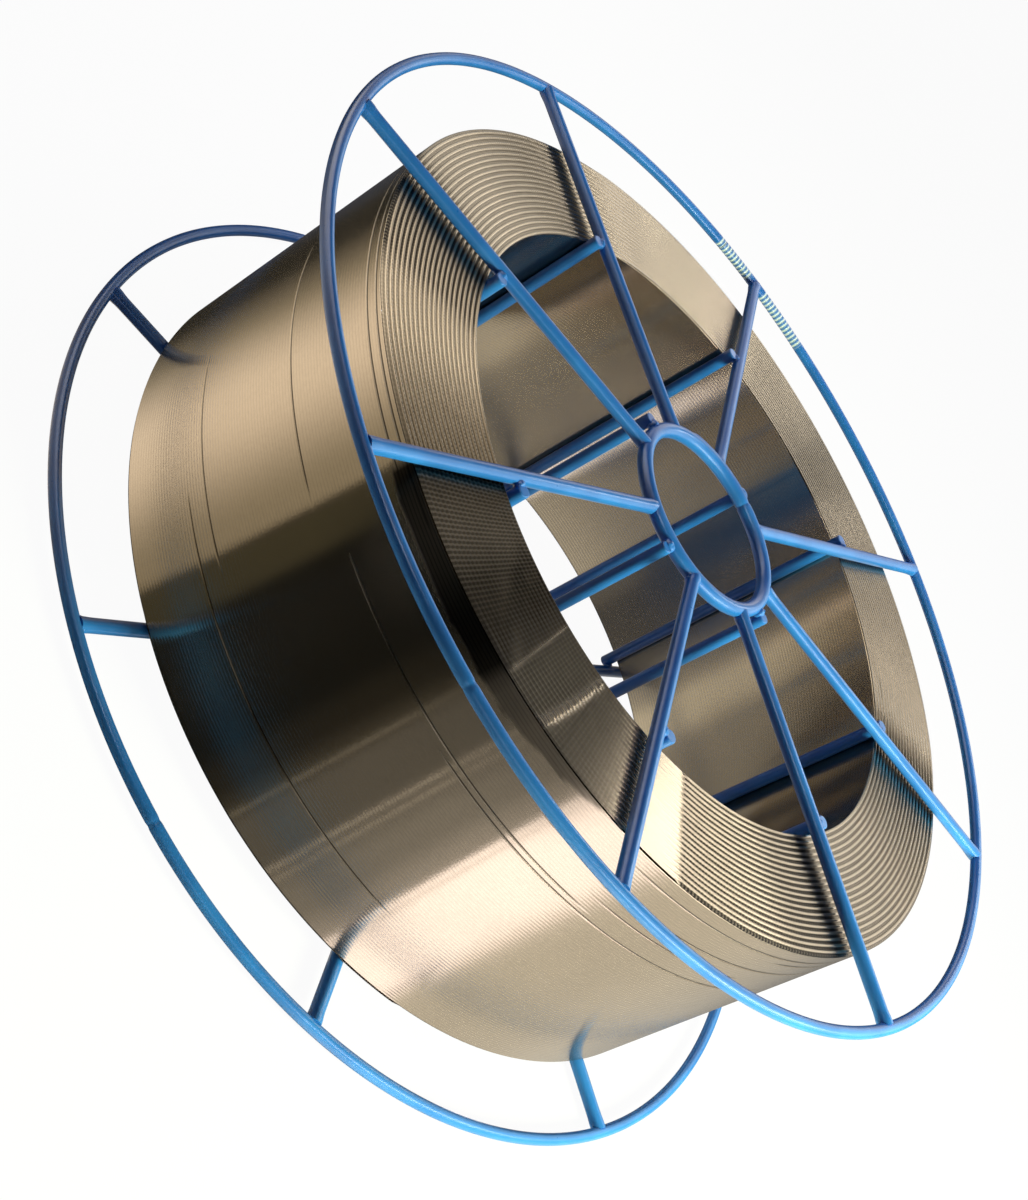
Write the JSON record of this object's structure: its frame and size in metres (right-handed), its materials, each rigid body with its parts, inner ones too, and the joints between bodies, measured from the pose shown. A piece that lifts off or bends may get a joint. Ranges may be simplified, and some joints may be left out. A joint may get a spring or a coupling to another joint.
{
  "type": "mig welding wire spool",
  "caption": "Blue welded wire basket spool full of layer-wound solid welding wire, with a round spindle bore.",
  "frame": {"origin": "centre of the footprint, under the middle of the bore, at the bottom of the rear hub ring", "axes": "+Z is the spool's axis and points up, out of the front flange; +X points midway between two spokes"},
  "size_m": [0.3, 0.3, 0.1032],
  "materials": {
    "basket_coating": "gloss",
    "coil_wire": "satin"
  },
  "bodies": {
    "root": {"front_flange": "basket_coating", "rear_flange": "basket_coating", "barrel_bar_1": "basket_coating", "barrel_bar_2": "basket_coating", "barrel_bar_3": "basket_coating", "barrel_bar_4": "basket_coating", "barrel_bar_5": "basket_coating", "barrel_bar_6": "basket_coating", "barrel_bar_7": "basket_coating", "barrel_bar_8": "basket_coating", "hub_bar_1": "basket_coating", "hub_bar_2": "basket_coating", "hub_bar_3": "basket_coating", "hub_bar_4": "basket_coating", "wire_coil": "coil_wire"}
  },
  "joints": []
}
